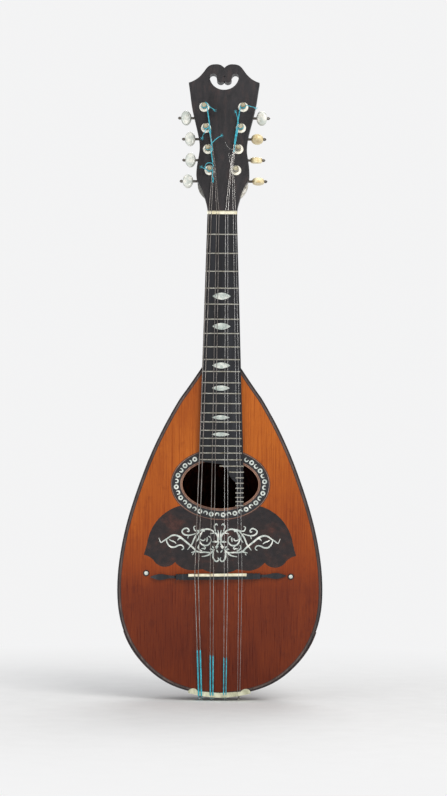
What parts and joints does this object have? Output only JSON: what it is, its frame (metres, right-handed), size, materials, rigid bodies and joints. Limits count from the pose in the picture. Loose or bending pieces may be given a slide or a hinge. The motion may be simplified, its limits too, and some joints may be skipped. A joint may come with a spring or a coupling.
{
  "type": "bowl-back mandolin",
  "caption": "Bowl-back mandolin with ribbed back, oval soundhole, canted top, floating bridge, paired strings and geared tuners.",
  "frame": {"origin": "on the centre line at the foot of the soundboard's outline, in the plane of the soundboard's flat upper part", "axes": "+Z from the tail to the head, -Y out of the soundboard towards the listener, +X towards the treble side"},
  "size_m": [0.1906, 0.1473, 0.5959],
  "materials": {
    "black_wood": "satin",
    "black_veneer": "satin",
    "ebony": "satin",
    "nickel_silver": "polished",
    "bone": "satin",
    "white_bone": "satin",
    "pearl": "gloss",
    "nickel_plate": "satin",
    "spruce": "gloss",
    "rosewood": "gloss",
    "inner_wood": "raw",
    "celluloid": "gloss",
    "black_trim": "gloss",
    "tortoiseshell": "gloss",
    "mastic": "gloss",
    "wound_string": "satin",
    "plain_string": "polished",
    "dark_steel": "satin",
    "button_pearl": "gloss",
    "button_bone": "satin",
    "post_steel": "satin",
    "brass": "satin",
    "silk": "matte"
  },
  "bodies": {
    "root": {"neck": "black_wood", "headstock_veneer": "black_veneer", "fretboard": "ebony", "frets": "nickel_silver", "nut": "bone", "position_markers": "pearl", "tuner_plate_bass": "nickel_plate", "tuner_plate_treble": "nickel_plate", "tuner_plate_screws": "nickel_plate", "post_ferrules": "white_bone", "soundboard": "spruce", "bowl_ribs": "rosewood", "neck_block": "inner_wood", "tail_block": "inner_wood", "soundboard_braces": "inner_wood", "edge_binding": "black_wood", "end_cap": "rosewood", "tail_guard": "celluloid", "hitch_pins": "nickel_plate", "bridge": "ebony", "saddle": "bone", "bridge_studs": "black_trim", "pickguard": "tortoiseshell", "rosette": "mastic", "strings_g": "wound_string", "strings_d": "wound_string", "strings_a": "plain_string", "strings_e": "plain_string"},
    "button_d2": {"worm_shaft_d2": "dark_steel", "tuner_button_d2": "button_pearl"},
    "post_d2": {"string_post_d2": "post_steel", "tuner_gear_d2": "brass"},
    "button_d1": {"worm_shaft_d1": "dark_steel", "tuner_button_d1": "button_pearl"},
    "post_d1": {"string_post_d1": "post_steel", "tuner_gear_d1": "brass"},
    "button_g2": {"worm_shaft_g2": "dark_steel", "tuner_button_g2": "button_pearl"},
    "post_g2": {"string_post_g2": "post_steel", "tuner_gear_g2": "brass"},
    "button_g1": {"worm_shaft_g1": "dark_steel", "tuner_button_g1": "button_pearl"},
    "post_g1": {"string_post_g1": "post_steel", "tuner_gear_g1": "brass"},
    "button_a1": {"worm_shaft_a1": "dark_steel", "tuner_button_a1": "button_pearl"},
    "post_a1": {"string_post_a1": "post_steel", "tuner_gear_a1": "brass"},
    "button_a2": {"worm_shaft_a2": "dark_steel", "tuner_button_a2": "button_bone"},
    "post_a2": {"string_post_a2": "post_steel", "tuner_gear_a2": "brass"},
    "button_e1": {"worm_shaft_e1": "dark_steel", "tuner_button_e1": "button_bone"},
    "post_e1": {"string_post_e1": "post_steel", "tuner_gear_e1": "brass"},
    "button_e2": {"worm_shaft_e2": "dark_steel", "tuner_button_e2": "button_bone"},
    "post_e2": {"string_post_e2": "post_steel", "tuner_gear_e2": "brass"}
  },
  "joints": [
    {"name": "turn_button_d2", "type": "hinge", "parent": "root", "child": "button_d2", "pos_m": [-0.0182, 0.03408, 0.53974], "axis": [1, 0, 0], "continuous": true},
    {"name": "turn_post_d2", "type": "hinge", "parent": "root", "child": "post_d2", "pos_m": [-0.0182, 0.0249, 0.54932], "axis": [0, -0.9659, 0.2588], "continuous": true},
    {"name": "turn_button_d1", "type": "hinge", "parent": "root", "child": "button_d1", "pos_m": [-0.0163, 0.0287, 0.51965], "axis": [1, 0, 0], "continuous": true},
    {"name": "turn_post_d1", "type": "hinge", "parent": "root", "child": "post_d1", "pos_m": [-0.0163, 0.01952, 0.52923], "axis": [0, -0.9659, 0.2588], "continuous": true},
    {"name": "turn_button_g2", "type": "hinge", "parent": "root", "child": "button_g2", "pos_m": [-0.0141, 0.02331, 0.49956], "axis": [1, 0, 0], "continuous": true},
    {"name": "turn_post_g2", "type": "hinge", "parent": "root", "child": "post_g2", "pos_m": [-0.0141, 0.01413, 0.50914], "axis": [0, -0.9659, 0.2588], "continuous": true},
    {"name": "turn_button_g1", "type": "hinge", "parent": "root", "child": "button_g1", "pos_m": [-0.0123, 0.01793, 0.47947], "axis": [1, 0, 0], "continuous": true},
    {"name": "turn_post_g1", "type": "hinge", "parent": "root", "child": "post_g1", "pos_m": [-0.0123, 0.00875, 0.48905], "axis": [0, -0.9659, 0.2588], "continuous": true},
    {"name": "turn_button_a1", "type": "hinge", "parent": "root", "child": "button_a1", "pos_m": [0.0182, 0.03408, 0.53974], "axis": [1, 0, 0], "continuous": true},
    {"name": "turn_post_a1", "type": "hinge", "parent": "root", "child": "post_a1", "pos_m": [0.0182, 0.0249, 0.54932], "axis": [0, -0.9659, 0.2588], "continuous": true},
    {"name": "turn_button_a2", "type": "hinge", "parent": "root", "child": "button_a2", "pos_m": [0.0163, 0.0287, 0.51965], "axis": [1, 0, 0], "continuous": true},
    {"name": "turn_post_a2", "type": "hinge", "parent": "root", "child": "post_a2", "pos_m": [0.0163, 0.01952, 0.52923], "axis": [0, -0.9659, 0.2588], "continuous": true},
    {"name": "turn_button_e1", "type": "hinge", "parent": "root", "child": "button_e1", "pos_m": [0.0141, 0.02331, 0.49956], "axis": [1, 0, 0], "continuous": true},
    {"name": "turn_post_e1", "type": "hinge", "parent": "root", "child": "post_e1", "pos_m": [0.0141, 0.01413, 0.50914], "axis": [0, -0.9659, 0.2588], "continuous": true},
    {"name": "turn_button_e2", "type": "hinge", "parent": "root", "child": "button_e2", "pos_m": [0.0123, 0.01793, 0.47947], "axis": [1, 0, 0], "continuous": true},
    {"name": "turn_post_e2", "type": "hinge", "parent": "root", "child": "post_e2", "pos_m": [0.0123, 0.00875, 0.48905], "axis": [0, -0.9659, 0.2588], "continuous": true}
  ],
  "couplings": [
    {"joint": "turn_post_d2", "follows": "turn_button_d2", "ratio": -0.071429},
    {"joint": "turn_post_d1", "follows": "turn_button_d1", "ratio": -0.071429},
    {"joint": "turn_post_g2", "follows": "turn_button_g2", "ratio": -0.071429},
    {"joint": "turn_post_g1", "follows": "turn_button_g1", "ratio": -0.071429},
    {"joint": "turn_post_a1", "follows": "turn_button_a1", "ratio": -0.071429},
    {"joint": "turn_post_a2", "follows": "turn_button_a2", "ratio": -0.071429},
    {"joint": "turn_post_e1", "follows": "turn_button_e1", "ratio": -0.071429},
    {"joint": "turn_post_e2", "follows": "turn_button_e2", "ratio": -0.071429}
  ]
}
